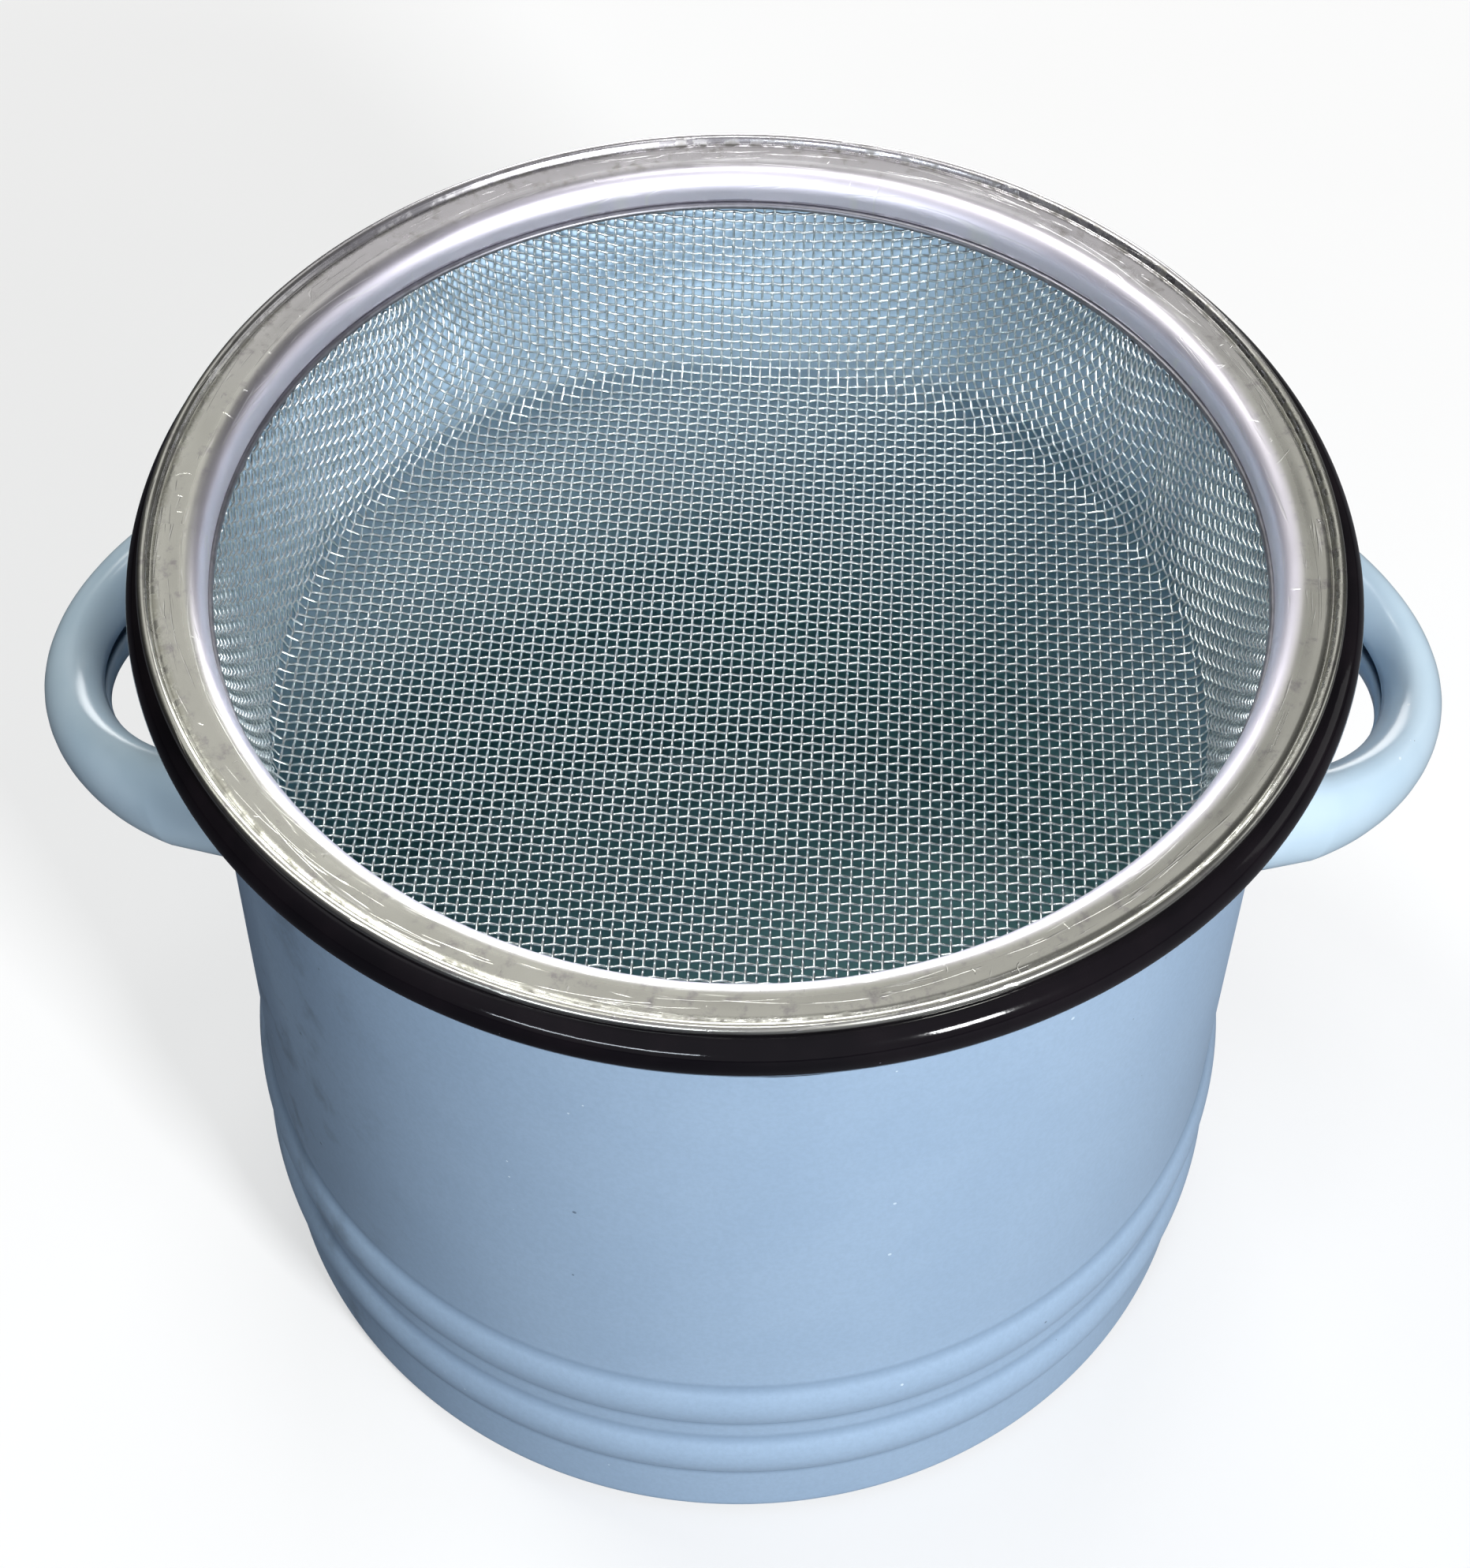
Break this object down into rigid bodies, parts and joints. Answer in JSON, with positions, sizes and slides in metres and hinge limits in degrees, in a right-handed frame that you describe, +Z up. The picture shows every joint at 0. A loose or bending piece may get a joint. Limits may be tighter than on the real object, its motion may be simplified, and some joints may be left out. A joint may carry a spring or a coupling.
{
  "type": "grease container",
  "caption": "Round enamelled steel grease keeper with rolled rim, strap handles and a lift-out wire cloth strainer.",
  "frame": {"origin": "on the table under the middle of the pot", "axes": "+Z up along the pot's axis, +X through the right handle, the front is -Y"},
  "size_m": [0.1646, 0.1386, 0.1187],
  "materials": {
    "enamel_body": "satin vitreous enamel, pale steel blue",
    "enamel_rim": "gloss vitreous enamel, black",
    "enamel_handles": "gloss vitreous enamel, pale blue",
    "ring_steel": "pressed steel, polished, finely scratched",
    "hoop_steel": "dull steel",
    "wire_steel": "bright woven wire"
  },
  "bodies": {
    "pot": {"pot_wall": "enamel_body", "pot_base": "enamel_body", "rolled_rim": "enamel_rim", "left_handle": "enamel_handles", "right_handle": "enamel_handles"},
    "strainer": {"strainer_ring": "ring_steel", "cloth_hoop": "hoop_steel", "cloth_floor": "wire_steel", "cloth_wall": "wire_steel"}
  },
  "joints": [
    {"name": "strainer_lift", "type": "slide", "parent": "pot", "child": "strainer", "axis": [0, 0, 1], "range_m": [0, 0.06]}
  ]
}
